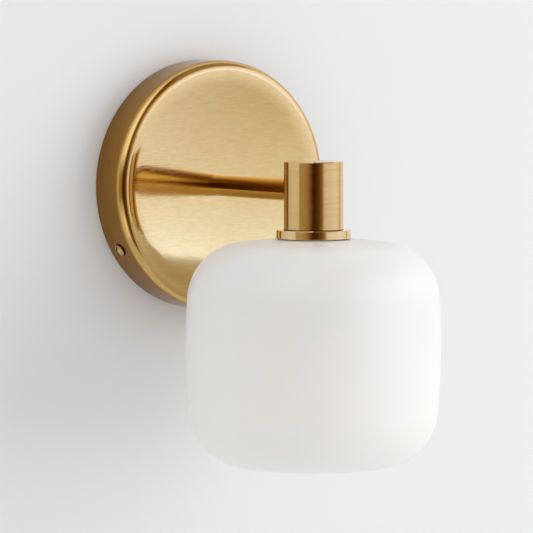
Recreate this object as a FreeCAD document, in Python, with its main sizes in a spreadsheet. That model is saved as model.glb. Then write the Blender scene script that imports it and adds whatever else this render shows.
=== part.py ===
import FreeCAD, Part
import math
import operator
import os
from types import SimpleNamespace

import Sketcher

# Wall sconce: a round dished canopy, a straight arm, a cup-shaped holder and
# a closed opal glass shade that screws into the cup from below.
# The origin is the centre of the canopy's back on the wall, +Z is up and the
# lamp stands out from the wall towards -Y.  All lengths are millimetres.

doc = FreeCAD.newDocument("wall_sconce")


# ---------------------------------------------------------------- sizes

SIZES = (
    # canopy
    ("canopy_radius", 64.0, "outside radius of the round canopy"),
    ("canopy_depth", 22.5, "wall to the crest of the rim"),
    ("canopy_wall", 1.5, "spun brass, wall thickness"),
    ("rim_radius", 5.2, "rounding from the side wall to the crest"),
    ("crest_radius", 28.0, "gentle rounding along the crest of the rim"),
    ("crest_inset", 1.4, "centre of the crest's curve inside that of the rounding"),
    ("dish_depth", 5.8, "centre of the face below the crest"),
    # arm and its threaded nipples
    ("arm_radius", 5.7, "outside radius of the arm tube"),
    ("nipple_radius", 4.9, "threaded nipple, outside"),
    ("nipple_bore", 3.5, "threaded nipple, bore radius"),
    ("nipple_grip", 12.0, "length of a nipple inside the arm"),
    ("nut_radius", 8.08, "hexagon nut, across corners, halved"),
    ("canopy_nut_height", 4.0, "nut behind the canopy"),
    ("cup_nut_height", 3.0, "nut inside the cup"),
    ("washer_radius", 9.0, "washer behind the canopy"),
    ("washer_height", 1.0, "washer thickness"),
    ("nipple_tail", 1.2, "nipple past each nut"),
    # wall bracket
    ("bracket_radius", 50.0, "round steel plate on the wall"),
    ("bracket_wall", 1.5, "plate and ear thickness"),
    ("wire_hole_radius", 16.0, "opening for the supply wires"),
    ("slot_radius", 2.3, "half width of a fixing slot"),
    ("slot_length", 16.0, "fixing slot, end to end"),
    ("slot_spacing", 79.4, "between the centres of opposite slots"),
    ("ear_width", 12.0, "ear that takes a side screw"),
    ("ear_rise", 15.0, "height of the ear from the wall"),
    ("ear_gap", 0.5, "ear to the inside of the canopy"),
    ("side_screw_angle", 30.0, "side screws, degrees from the horizontal"),
    ("side_screw_out", 9.5, "side screw axis from the wall"),
    ("side_screw_radius", 2.0, "side screw thread"),
    ("side_head_radius", 3.25, "side screw head"),
    ("side_head_height", 2.2, "side screw head, dome"),
    ("side_screw_length", 9.0, "side screw below its head"),
    # earth parts
    ("earth_x", 25.0, "earth screw, to the right"),
    ("earth_up", 12.0, "earth screw, above the centre"),
    ("earth_screw_radius", 2.0, "earth screw thread"),
    ("earth_head_radius", 3.6, "earth screw head"),
    ("earth_head_height", 2.2, "earth screw head"),
    ("tag_wall", 0.6, "ring tag thickness"),
    ("tag_tail", 17.0, "centre of the nipple's ring tag to its tail end"),
    ("small_tag_tail", 8.5, "centre of the earth screw's tag to its tail end"),
    ("tag_tail_width", 4.0, "tail of a ring tag"),
    # terminal block
    ("block_drop", 25.0, "terminal block below the centre"),
    ("block_width", 24.0, "terminal block"),
    ("block_height", 12.0, "terminal block, along the wires"),
    ("block_depth", 11.0, "terminal block, out from the plate"),
    ("block_pitch", 11.0, "between the two wire ways"),
    ("block_way_radius", 1.7, "wire way in the block"),
    ("block_way_out", 4.5, "wire way above the plate"),
    ("terminal_screw_radius", 1.5, "terminal screw"),
    ("block_screw_radius", 1.5, "screw that holds the block"),
    ("block_head_radius", 2.6, "its head"),
    ("block_head_height", 1.6, "its head"),
    # cup and ring
    ("reach", 100.5, "wall to the axis of the cup"),
    ("cup_radius", 15.0, "outside radius of the cup"),
    ("cup_wall", 1.0, "cup wall thickness"),
    ("cup_rise", 15.0, "top of the cup above the arm's axis"),
    ("cup_top_wall", 1.5, "closed top of the cup"),
    ("cup_edge", 0.4, "broken edge round the top"),
    ("ring_drop", 19.2, "top of the ring below the arm's axis"),
    ("ring_height", 4.4, "ring at the mouth of the cup"),
    ("ring_radius", 18.9, "outside radius of the ring"),
    ("ring_edge", 0.3, "broken edges of the ring"),
    ("mouth_rise", 0.8, "cup's mouth above the ring's lower face"),
    ("seal_seat_radius", 17.6, "recess for the seal under the ring"),
    ("seal_seat_depth", 1.6, "depth of that recess"),
    # screw thread of the shade
    ("thread_pitch", 5.0, "advance in one turn"),
    ("thread_turns", 1.25, "turns on the neck and in the cup"),
    ("thread_root", 1.8, "ridge width at its root"),
    ("thread_tip", 1.0, "ridge width at its tip"),
    ("cup_thread_height", 1.05, "ridge inside the cup"),
    ("neck_thread_height", 1.25, "ridge on the glass neck"),
    ("cup_thread_start", 1.8, "first ridge above the ring's lower face"),
    # glass shade
    ("shade_radius", 64.0, "widest radius of the shade"),
    ("equator_drop", 76.5, "widest level below the arm's axis"),
    ("shade_below", 63.5, "widest level to the lowest point"),
    ("crown_radius", 310.0, "gentle curve of the top"),
    ("base_radius", 354.0, "gentle curve of the bottom"),
    ("side_radius", 370.0, "gentle curve of the side"),
    ("shoulder_radius", 29.2, "rounding between top, side and bottom"),
    ("shade_wall", 3.0, "glass thickness"),
    ("neck_radius", 12.35, "glass neck, outside"),
    ("neck_bore", 10.1, "glass neck, inside"),
    ("neck_rise", 11.3, "top of the neck above the ring's lower face"),
    ("neck_zone_radius", 18.0, "the glass round the neck that is kept as its own node"),
    # lampholder and its bracket
    ("strap_width", 12.0, "bent strap that carries the lampholder"),
    ("strap_wall", 1.2, "strap thickness"),
    ("strap_rise", 8.5, "top of the strap above the arm's axis"),
    ("strap_floor", 7.6, "floor of the strap below the arm's axis"),
    ("strap_nose", 8.0, "floor of the strap past the cup's axis"),
    ("holder_radius", 9.2, "ceramic lampholder"),
    ("holder_height", 16.5, "ceramic lampholder"),
    ("socket_length", 13.4, "pocket that takes the lamp's base"),
    ("socket_width", 7.8, "pocket that takes the lamp's base"),
    ("socket_depth", 6.2, "pocket that takes the lamp's base"),
    ("pin_spacing", 9.0, "between the lamp's two pins"),
    ("pin_slot_length", 3.0, "slot for a pin, across"),
    ("pin_slot_inner", 3.4, "slot for a pin, inner side from the axis"),
    ("pin_slot_outer", 6.1, "slot for a pin, outer side from the axis"),
    ("pin_slot_depth", 8.0, "slot for a pin, above the pocket"),
    ("holder_screw_spread", 5.0, "lampholder screws from the axis"),
    ("holder_screw_radius", 1.25, "lampholder screw thread"),
    ("holder_head_radius", 2.2, "lampholder screw head"),
    ("holder_head_height", 1.4, "lampholder screw head"),
    ("holder_screw_length", 6.0, "lampholder screw below its head"),
    ("contact_wall", 0.4, "spring contact strip"),
    ("contact_width", 2.2, "spring contact strip"),
    # lamp
    ("lamp_base_length", 12.6, "base block of the lamp"),
    ("lamp_base_width", 7.0, "base block of the lamp"),
    ("lamp_base_height", 8.0, "base block of the lamp"),
    ("collar_radius", 7.5, "collar between base block and envelope"),
    ("collar_height", 5.0, "collar between base block and envelope"),
    ("pin_rise", 6.4, "pins above the base block"),
    ("pin_wire_radius", 0.45, "wire of a pin loop"),
    ("pin_loop_radius", 0.65, "bend of a pin loop"),
    ("bulb_radius", 7.0, "glass envelope"),
    ("bulb_length", 38.0, "glass envelope"),
    ("bulb_wall", 0.9, "glass envelope"),
    ("filament_radius", 0.8, "light-emitting rod"),
    ("filament_length", 22.0, "light-emitting rod"),
    ("filament_spread", 3.2, "rods from the lamp's axis"),
    ("filament_drop", 5.0, "rods below the collar"),
    ("stem_radius", 1.2, "glass stem of the lamp"),
    ("stem_disc_wall", 0.8, "discs that hold the rods"),
    # leads
    ("lead_radius", 0.8, "insulated lead"),
    ("lead_spread", 1.7, "lead from the axis inside the arm"),
    ("lead_bend", 3.6, "bend radius of a lead"),
    ("lead_turn_out", 4.2, "where the leads turn down behind the canopy"),
    ("earth_lead_start", 8.0, "first run of the earth lead, from the nipple's tag"),
    ("earth_lead_bow", 9.0, "earth lead past the end of each tag, sideways"),
    ("earth_lead_up_near", 3.0, "its first bend above the centre"),
    ("earth_lead_up_far", 7.2, "its second bend above the centre"),
    ("earth_lead_out_near", 9.0, "its first bend from the wall"),
    ("earth_lead_out_far", 5.25, "its second bend from the wall"),
    # clearances
    ("fit_gap", 0.1, "radial gap of screwed and slipped fits"),
    ("loose_gap", 0.2, "gap round pieces that drop in"),
    ("side_hole_gap", 0.3, "radial gap round a side screw in the canopy"),
    ("lead_hole_gap", 0.4, "radial gap round a lead through the strap"),
    ("seat_gap", 0.05, "gap under a seated piece"),
    ("run_gap", 0.4, "least gap between pieces that move apart"),
)


class Size:
    """A number, with the sheet expression that gives it."""

    def __init__(self, value, text):
        self.value = float(value)
        self.text = text

    def __add__(self, other):
        return combine(operator.add, "+", self, other)

    def __radd__(self, other):
        return combine(operator.add, "+", other, self)

    def __sub__(self, other):
        return combine(operator.sub, "-", self, other)

    def __rsub__(self, other):
        return combine(operator.sub, "-", other, self)

    def __mul__(self, other):
        return combine(operator.mul, "*", self, other)

    def __rmul__(self, other):
        return combine(operator.mul, "*", other, self)

    def __truediv__(self, other):
        return combine(operator.truediv, "/", self, other)

    def __neg__(self):
        return combine(operator.sub, "-", ZERO, self)

    def root(self):
        return Size(math.sqrt(self.value), "sqrt(%s)" % self.text)


def as_size(number):
    """Plain numbers join in as sizes that no cell changes."""
    return number if isinstance(number, Size) else Size(number, repr(float(number)))


def combine(action, sign, left, right):
    left, right = as_size(left), as_size(right)
    return Size(action(left.value, right.value), "(%s %s %s)" % (left.text, sign, right.text))


ZERO = Size(0.0, "0")


def fill_sheet():
    """Writes each size to its own named cell and returns them by name."""
    sheet = doc.addObject("Spreadsheet::Sheet", "Sizes")
    found = {}
    for row, (alias, value, meaning) in enumerate(SIZES, 1):
        sheet.set("A%d" % row, alias)
        sheet.set("B%d" % row, repr(value))
        sheet.set("C%d" % row, meaning)
        sheet.setAlias("B%d" % row, alias)
        found[alias] = Size(value, "Sizes." + alias)
    doc.recompute()
    return SimpleNamespace(**found)


S = fill_sheet()


# ---------------------------------------------------------------- drawing tools

ORIGIN_POINT = (-1, 1)
H_AXIS = -1
V_AXIS = -2
START, END, CENTRE = 1, 2, 3


def bind(thing, prop, size):
    """Ties a property to the sheet."""
    thing.setExpression(prop, as_size(size).text)


def new_body(label, many=False):
    body = doc.addObject("PartDesign::Body", label)
    body.Label = label
    body.AllowCompound = many
    return body


def new_sketch(body, name, plane="XY_Plane", lift=None, turn=None, turn_axis=(0, 0, 1)):
    """A sketch on one of the body's own planes, lifted along its normal or turned."""
    sketch = body.newObject("Sketcher::SketchObject", name)
    face = [part for part in body.Origin.OriginFeatures if part.Role == plane][0]
    sketch.AttachmentSupport = [(face, "")]
    sketch.MapMode = "FlatFace"
    if turn is not None:
        sketch.AttachmentOffset = FreeCAD.Placement(
            FreeCAD.Vector(), FreeCAD.Rotation(FreeCAD.Vector(*turn_axis), turn.value))
        sketch.setExpression("AttachmentOffset.Rotation.Angle", turn.text)
    if lift is not None:
        offset = sketch.AttachmentOffset
        offset.Base = FreeCAD.Vector(0, 0, lift.value)
        sketch.AttachmentOffset = offset
        bind(sketch, "AttachmentOffset.Base.z", lift)
    return sketch


def hold(sketch, kind, *terms):
    """Adds a constraint; a size as the last term is tied to the sheet."""
    if isinstance(terms[-1], Size):
        size = terms[-1]
        number = sketch.addConstraint(Sketcher.Constraint(kind, *terms[:-1], size.value))
        bind(sketch, "Constraints[%d]" % number, size)
    else:
        sketch.addConstraint(Sketcher.Constraint(kind, *terms))


def hold_point(sketch, edge, end, across, up):
    """Places the end of an edge from the sketch's origin."""
    for kind, axis, size in (("DistanceX", V_AXIS, across), ("DistanceY", H_AXIS, up)):
        if as_size(size).value == 0:
            hold(sketch, "PointOnObject", edge, end, axis)
        else:
            hold(sketch, kind, *ORIGIN_POINT, edge, end, as_size(size))


def arc_between(first, last, radius, left):
    """The shorter arc from first to last, with its centre to the left or the right."""
    middle = (first + last) * 0.5
    along = last - first
    half = along.Length / 2
    normal = FreeCAD.Vector(-along.y, along.x, 0).normalize()
    offset = math.sqrt(max(radius * radius - half * half, 0.0))
    centre = middle + normal * (offset if left else -offset)
    start = math.atan2(first.y - centre.y, first.x - centre.x)
    stop = math.atan2(last.y - centre.y, last.x - centre.x)
    circle = Part.Circle(centre, FreeCAD.Vector(0, 0, 1), radius)
    return Part.ArcOfCircle(circle, start, stop) if left else Part.ArcOfCircle(circle, stop, start)


def outline(sketch, corners):
    """A closed outline.  A corner is (across, up), with an optional (radius, side) for
    the arc that leads on from it, whose centre is then on that side of the way."""
    points = [FreeCAD.Vector(as_size(c[0]).value, as_size(c[1]).value, 0) for c in corners]
    ends = []
    for index, corner in enumerate(corners):
        first, last = points[index], points[(index + 1) % len(points)]
        if len(corner) == 2:
            edge = sketch.addGeometry(Part.LineSegment(first, last))
            ends.append((edge, START, END))
        else:
            radius, side = corner[2]
            edge = sketch.addGeometry(arc_between(first, last, radius.value, side == "left"))
            ends.append((edge, START, END) if side == "left" else (edge, END, START))
            hold(sketch, "Radius", edge, radius)
    for index, corner in enumerate(corners):
        edge, start, _ = ends[index]
        before, _, stop = ends[index - 1]
        hold(sketch, "Coincident", before, stop, edge, start)
        hold_point(sketch, edge, start, corner[0], corner[1])
    return sketch


def circles(sketch, radius, *centres):
    for across, up in centres:
        middle = FreeCAD.Vector(as_size(across).value, as_size(up).value, 0)
        edge = sketch.addGeometry(Part.Circle(middle, FreeCAD.Vector(0, 0, 1), radius.value))
        hold(sketch, "Radius", edge, radius)
        hold_point(sketch, edge, CENTRE, across, up)
    return sketch


def slot_outline(sketch, near, far, radius):
    """A round-ended slot along the sketch's horizontal axis."""
    middles = [FreeCAD.Vector(near.value, 0, 0), FreeCAD.Vector(far.value, 0, 0)]
    drop = FreeCAD.Vector(0, radius.value, 0)
    caps = []
    for middle, centre, turn in zip(middles, (near, far), (math.pi / 2, -math.pi / 2)):
        circle = Part.Circle(middle, FreeCAD.Vector(0, 0, 1), radius.value)
        cap = sketch.addGeometry(Part.ArcOfCircle(circle, turn, turn + math.pi))
        hold(sketch, "Radius", cap, radius)
        hold_point(sketch, cap, CENTRE, centre, ZERO)
        caps.append(cap)
    lower = sketch.addGeometry(Part.LineSegment(middles[0] - drop, middles[1] - drop))
    upper = sketch.addGeometry(Part.LineSegment(middles[1] + drop, middles[0] + drop))
    for first, second in ((caps[0], lower), (lower, caps[1]), (caps[1], upper), (upper, caps[0])):
        hold(sketch, "Tangent", first, END, second, START)
    return sketch


def box_outline(left, right, low, high):
    return [(left, low), (right, low), (right, high), (left, high)]


def revolve(body, sketch, name="turning"):
    turned = body.newObject("PartDesign::Revolution", name)
    turned.Profile = sketch
    turned.ReferenceAxis = (sketch, ["V_Axis"])
    turned.Angle = 360
    sketch.Visibility = False
    return turned


def extrude(body, kind, sketch, length, name, reverse=False, both=False):
    """Pads or pockets a sketch; a pocket cuts against the sketch's normal."""
    feature = body.newObject("PartDesign::" + kind, name)
    feature.Profile = sketch
    feature.Length = as_size(length).value
    bind(feature, "Length", length)
    feature.Reversed = reverse
    if both:
        feature.SideType = "Symmetric"
    sketch.Visibility = False
    return feature


def around(body, features, count, axis="Z_Axis", name="around"):
    """Repeats features round one of the body's own axes."""
    pattern = body.newObject("PartDesign::PolarPattern", name)
    line = [part for part in body.Origin.OriginFeatures if part.Role == axis][0]
    pattern.Originals = features
    pattern.Axis = (line, [""])
    pattern.Angle = 360
    pattern.Occurrences = count
    body.Tip = pattern
    return pattern


def in_row(body, features, spacing, axis="X_Axis", name="in_row"):
    """A second copy of features, one spacing along one of the body's own axes."""
    pattern = body.newObject("PartDesign::LinearPattern", name)
    line = [part for part in body.Origin.OriginFeatures if part.Role == axis][0]
    pattern.Originals = features
    pattern.Direction = (line, [""])
    pattern.Length = spacing.value
    bind(pattern, "Length", spacing)
    pattern.Occurrences = 2
    body.Tip = pattern
    return pattern


def helix(body, sketch, name):
    """Winds a ridge of the screw thread round the body's axis, right-handed."""
    ridge = body.newObject("PartDesign::AdditiveHelix", name)
    ridge.Profile = sketch
    ridge.ReferenceAxis = (sketch, ["V_Axis"])
    ridge.Mode = "pitch-height-angle"
    ridge.Pitch = S.thread_pitch.value
    bind(ridge, "Pitch", S.thread_pitch)
    ridge.Height = (S.thread_pitch * S.thread_turns).value
    bind(ridge, "Height", S.thread_pitch * S.thread_turns)
    sketch.Visibility = False
    return ridge


# Pieces on the canopy's axis are drawn with z out of the wall and y up.
OUT_OF_WALL = FreeCAD.Rotation(FreeCAD.Vector(1, 0, 0), 90)
UPRIGHT = FreeCAD.Rotation()


def stand(thing, rotation, x=ZERO, y=ZERO, z=ZERO):
    """Puts a finished piece in its place."""
    values = [as_size(v) for v in (x, y, z)]
    base = FreeCAD.Vector(*[v.value for v in values])
    thing.Placement = FreeCAD.Placement(base, rotation)
    for axis, size in zip("xyz", values):
        if size.value != 0:
            bind(thing, "Placement.Base." + axis, size)
    return thing


def on_wall(thing, across=ZERO, up=ZERO, out=ZERO):
    return stand(thing, OUT_OF_WALL, across, -as_size(out), up)


def under_cup(thing, drop=ZERO):
    """Places a piece on the cup's axis, a given way below the arm's axis."""
    return stand(thing, UPRIGHT, ZERO, -S.reach, -as_size(drop))


def turned_piece(label, corners):
    """A piece turned about its z axis from one outline of (radius, height)."""
    body = new_body(label)
    revolve(body, outline(new_sketch(body, label + "_outline", "XZ_Plane"), corners))
    return body


def sleeve(label, inner, outer, low, high):
    return turned_piece(label, [(inner, low), (outer, low), (outer, high), (inner, high)])


# A slotted round head, in shares of its radius or its height.
HEAD_FLAT = 0.35
HEAD_SIDE = 0.35
SLOT_HALF_WIDTH = 0.14
SLOT_DEPTH = 0.5


def screw(label, thread, length, head, head_height, many=False, start=ZERO):
    """A slotted screw along z with its head's seat at the given level."""
    body = new_body(label, many)
    flat = head * HEAD_FLAT
    top = start + head_height
    side = start + head_height * HEAD_SIDE
    corners = [
        (ZERO, start - length), (thread, start - length), (thread, start), (head, start),
        (head, side), (flat, top), (ZERO, top)]
    turning = revolve(body, outline(new_sketch(body, label + "_outline", "XZ_Plane"), corners))
    slot = new_sketch(body, label + "_slot", "XY_Plane", lift=top)
    half = head * SLOT_HALF_WIDTH
    outline(slot, box_outline(-(head * 2), head * 2, -half, half))
    cut = extrude(body, "Pocket", slot, head_height * SLOT_DEPTH, label + "_slot_cut")
    return body, [turning, cut]


def wire_solid(points, radius, bend):
    """A round wire along a route, with tangent arcs at its corners, and its length."""
    route = [FreeCAD.Vector(*[as_size(v).value for v in point]) for point in points]
    edges = []
    here = route[0]
    for before, corner, after in zip(route, route[1:], route[2:]):
        back, on = before - corner, after - corner
        half = (math.pi - back.getAngle(on)) / 2
        cut = min(bend.value * math.tan(half), 0.45 * min(back.Length, on.Length))
        turn_radius = cut / math.tan(half)
        back.normalize()
        on.normalize()
        first, last = corner + back * cut, corner + on * cut
        inward = (back + on).normalize()
        middle = corner + inward * (turn_radius / math.cos(half) - turn_radius)
        edges.append(Part.LineSegment(here, first).toShape())
        edges.append(Part.Arc(first, middle, last).toShape())
        here = last
    edges.append(Part.LineSegment(here, route[-1]).toShape())
    wire = Part.Wire(edges)
    section = Part.Wire(Part.Circle(route[0], route[1] - route[0], radius.value).toShape())
    return wire.makePipeShell([section], True, False), wire.Length


def tube(label, points, radius, bend):
    """A lead as a piece of its own."""
    piece = doc.addObject("Part::Feature", label)
    piece.Label = label
    piece.Shape, length = wire_solid(points, radius, bend)
    expected = math.pi * radius.value ** 2 * length
    print("%s: %.1f long, volume ratio %.4f" % (label, length, piece.Shape.Volume / expected))
    return piece


# ---------------------------------------------------------------- shared levels

FACE_OUT = S.canopy_depth - S.dish_depth
BACK_OUT = FACE_OUT - S.canopy_wall
SCREW_SEAT = S.canopy_radius
WASHER_OUT = BACK_OUT - S.seat_gap - S.washer_height
TAG_OUT = WASHER_OUT - S.seat_gap - S.tag_wall
CANOPY_NUT_OUT = TAG_OUT - S.seat_gap - S.canopy_nut_height
NIPPLE_HOLE = S.nipple_radius + S.fit_gap
CUP_INSIDE = S.cup_radius - S.cup_wall
RING_LOW = S.ring_drop + S.ring_height
STRAP_BACK = (CUP_INSIDE * CUP_INSIDE - S.strap_width * S.strap_width / 4).root() - S.seat_gap
CUP_NUT_OUT = S.reach - STRAP_BACK + S.strap_wall + S.seat_gap
HOLDER_TOP = S.strap_floor + S.strap_wall + S.seat_gap
LAMP_TOP = HOLDER_TOP + S.holder_height - S.socket_depth + S.run_gap
CROWN_TOP = S.ring_radius * S.ring_radius / (S.crown_radius * 2) - RING_LOW - S.run_gap
CROWN_LOCAL = CROWN_TOP + S.equator_drop


# ---------------------------------------------------------------- wall side

def make_wall_bracket():
    """Round plate with four fixing slots and two ears for the side screws."""
    body = new_body("wall_bracket")
    plate = new_sketch(body, "bracket_plate")
    circles(plate, S.bracket_radius, (ZERO, ZERO))
    circles(plate, S.wire_hole_radius, (ZERO, ZERO))
    extrude(body, "Pad", plate, S.bracket_wall, "plate")

    outer = S.canopy_radius - S.canopy_wall - S.ear_gap
    inner = outer - S.bracket_wall
    half = S.ear_width / 2
    tab = new_sketch(body, "bracket_tab", turn=S.side_screw_angle)
    outline(tab, box_outline(S.bracket_radius - half, outer, -half, half))
    tab_pad = extrude(body, "Pad", tab, S.bracket_wall, "tab")
    ear = new_sketch(body, "bracket_ear", turn=S.side_screw_angle)
    outline(ear, box_outline(inner, outer, -half, half))
    ear_pad = extrude(body, "Pad", ear, S.ear_rise, "ear")
    around(body, [tab_pad, ear_pad], 2, name="two_ears")

    tapped = new_sketch(body, "ear_thread", "YZ_Plane", turn=S.side_screw_angle, turn_axis=(0, 1, 0))
    circles(tapped, S.side_screw_radius + S.fit_gap, (ZERO, S.side_screw_out))
    extrude(body, "Pocket", tapped, outer * 3, "ear_thread_cut", both=True)

    slot = new_sketch(body, "fixing_slot", lift=S.bracket_wall)
    near = (S.slot_spacing - S.slot_length) / 2 + S.slot_radius
    far = (S.slot_spacing + S.slot_length) / 2 - S.slot_radius
    slot_outline(slot, near, far, S.slot_radius)
    slot_cut = extrude(body, "Pocket", slot, S.bracket_wall, "fixing_slot_cut")
    around(body, [slot_cut], 4, name="four_slots")

    taps = new_sketch(body, "small_threads", lift=S.bracket_wall)
    circles(taps, S.earth_screw_radius + S.fit_gap, (S.earth_x, S.earth_up))
    circles(taps, S.block_screw_radius + S.fit_gap, (ZERO, -S.block_drop))
    extrude(body, "Pocket", taps, S.bracket_wall, "small_threads_cut")
    on_wall(body)


def make_canopy():
    """Spun brass canopy: side wall, rounded rim with a gentle crest, and a dished face."""
    rim_x = S.canopy_radius - S.rim_radius
    crest_x = rim_x - S.crest_inset
    crest_level = S.canopy_depth - S.crest_radius
    apart = S.crest_radius - S.rim_radius
    climb = (apart * apart - S.crest_inset * S.crest_inset).root()
    side_top = crest_level + climb
    above = S.crest_radius - S.dish_depth
    dish = (crest_x * crest_x + above * above - S.crest_radius * S.crest_radius) / (S.dish_depth * 2)
    between = dish + S.crest_radius

    def rim_join(radius):
        return crest_x + radius * S.crest_inset / apart, crest_level + radius * climb / apart

    def dish_join(radius):
        return crest_x - radius * crest_x / between, crest_level + radius * (above + dish) / between

    inner_crest = S.crest_radius - S.canopy_wall
    inside = S.canopy_radius - S.canopy_wall
    body = turned_piece("canopy", [
        (ZERO, BACK_OUT, (dish + S.canopy_wall, "left")),
        (*dish_join(inner_crest), (inner_crest, "right")),
        (*rim_join(inner_crest), (S.rim_radius - S.canopy_wall, "right")),
        (inside, side_top), (inside, ZERO), (S.canopy_radius, ZERO),
        (S.canopy_radius, side_top, (S.rim_radius, "left")),
        (*rim_join(S.crest_radius), (S.crest_radius, "left")),
        (*dish_join(S.crest_radius), (dish, "right")),
        (ZERO, FACE_OUT)])
    centre = circles(new_sketch(body, "centre_hole"), NIPPLE_HOLE, (ZERO, ZERO))
    extrude(body, "Pocket", centre, S.canopy_depth, "centre_hole_cut", reverse=True)
    sides = new_sketch(body, "side_holes", "YZ_Plane", turn=S.side_screw_angle, turn_axis=(0, 1, 0))
    circles(sides, S.side_screw_radius + S.side_hole_gap, (ZERO, S.side_screw_out))
    extrude(body, "Pocket", sides, S.canopy_radius * 3, "side_holes_cut", both=True)
    on_wall(body)


def make_side_screws():
    body, features = screw("side_screws", S.side_screw_radius, S.side_screw_length,
                           S.side_head_radius, S.side_head_height, many=True, start=SCREW_SEAT)
    around(body, features, 2, axis="X_Axis", name="both_sides")
    stand(body, FreeCAD.Rotation(FreeCAD.Vector(0, 1, 0), 90 - S.side_screw_angle.value),
          ZERO, -S.side_screw_out, ZERO)
    body.setExpression("Placement.Rotation.Angle", "90 - " + S.side_screw_angle.text)


def make_earth_parts():
    """Green earth screw with a ring tag under its head, and the tag on the nipple."""
    seat = S.bracket_wall + S.seat_gap * 2 + S.tag_wall
    body, _ = screw("earth_screw", S.earth_screw_radius, seat - S.fit_gap,
                    S.earth_head_radius, S.earth_head_height, start=seat)
    on_wall(body, S.earth_x, S.earth_up)
    small = ring_tag("earth_screw_tag", S.earth_screw_radius + S.fit_gap, S.earth_head_radius + S.fit_gap,
                     S.small_tag_tail)
    on_wall(small, S.earth_x, S.earth_up, S.bracket_wall + S.seat_gap)
    large = ring_tag("earth_nipple_tag", NIPPLE_HOLE, S.nut_radius, S.tag_tail)
    on_wall(large, out=TAG_OUT)


def ring_tag(label, bore, outer, tail):
    """Flat ring with a straight tail to the right."""
    body = new_body(label)
    half = S.tag_tail_width / 2
    arm = outline(new_sketch(body, label + "_tail"), box_outline((bore + outer) / 2, tail, -half, half))
    ring = circles(new_sketch(body, label + "_ring"), outer, (ZERO, ZERO))
    extrude(body, "Pad", ring, S.tag_wall, label + "_disc")
    extrude(body, "Pad", arm, S.tag_wall, label + "_arm")
    hole = circles(new_sketch(body, label + "_hole"), bore, (ZERO, ZERO))
    extrude(body, "Pocket", hole, S.tag_wall, label + "_bore", reverse=True)
    return body


def make_terminal_block():
    """Two-way block on the bracket, with its brass screws and its fixing screw."""
    body = new_body("terminal_block")
    half = S.block_width / 2
    tall = S.block_height / 2
    base = outline(new_sketch(body, "block_base"), box_outline(-half, half, -tall, tall))
    extrude(body, "Pad", base, S.block_depth, "block")
    ways = new_sketch(body, "block_ways", "XZ_Plane")
    left, right = (-(S.block_pitch / 2), S.block_way_out), (S.block_pitch / 2, S.block_way_out)
    circles(ways, S.block_way_radius, left, right)
    extrude(body, "Pocket", ways, S.block_height * 2, "block_ways_cut", both=True)
    wells = new_sketch(body, "block_wells", lift=S.block_depth)
    circles(wells, S.terminal_screw_radius + S.fit_gap,
            (-(S.block_pitch / 2), ZERO), (S.block_pitch / 2, ZERO))
    extrude(body, "Pocket", wells, S.block_depth - S.block_way_out, "block_wells_cut")
    centre = circles(new_sketch(body, "block_centre", lift=S.block_depth),
                     S.block_screw_radius + S.fit_gap, (ZERO, ZERO))
    extrude(body, "Pocket", centre, S.block_depth, "block_centre_cut")
    head = circles(new_sketch(body, "block_head", lift=S.block_depth),
                   S.block_head_radius + S.loose_gap, (ZERO, ZERO))
    extrude(body, "Pocket", head, S.block_head_height + S.loose_gap, "block_head_cut")
    on_wall(body, up=-S.block_drop, out=S.bracket_wall + S.seat_gap)

    head_seat = S.block_depth - S.block_head_height - S.fit_gap
    fixing, _ = screw("block_screw", S.block_screw_radius, head_seat + S.bracket_wall,
                      S.block_head_radius, S.block_head_height, start=head_seat)
    on_wall(fixing, up=-S.block_drop, out=S.bracket_wall + S.seat_gap)

    clamp = S.block_way_radius - S.fit_gap
    clamps = new_body("terminal_clamps", many=True)
    ring = new_sketch(clamps, "clamp_ring", "XZ_Plane")
    circles(ring, clamp, (ZERO, ZERO))
    circles(ring, S.lead_radius + S.fit_gap, (ZERO, ZERO))
    barrel = extrude(clamps, "Pad", ring, S.block_height - S.loose_gap * 2, "clamp", both=True)
    in_row(clamps, [barrel], S.block_pitch)
    on_wall(clamps, -(S.block_pitch / 2), -S.block_drop, S.bracket_wall + S.seat_gap + S.block_way_out)

    low = S.block_way_out + clamp + S.seat_gap
    grub = new_body("terminal_screws", many=True)
    rod = circles(new_sketch(grub, "grub_rod"), S.terminal_screw_radius, (ZERO, ZERO))
    stem = extrude(grub, "Pad", rod, S.block_depth - low, "grub")
    slot = new_sketch(grub, "grub_slot", lift=S.block_depth - low)
    wide = S.terminal_screw_radius * 2
    half = S.terminal_screw_radius * SLOT_HALF_WIDTH
    outline(slot, box_outline(-wide, wide, -half, half))
    cut = extrude(grub, "Pocket", slot, S.terminal_screw_radius * SLOT_DEPTH, "grub_slot_cut")
    in_row(grub, [stem, cut], S.block_pitch)
    on_wall(grub, -(S.block_pitch / 2), -S.block_drop, S.bracket_wall + S.seat_gap + low)


# ---------------------------------------------------------------- arm

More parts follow.
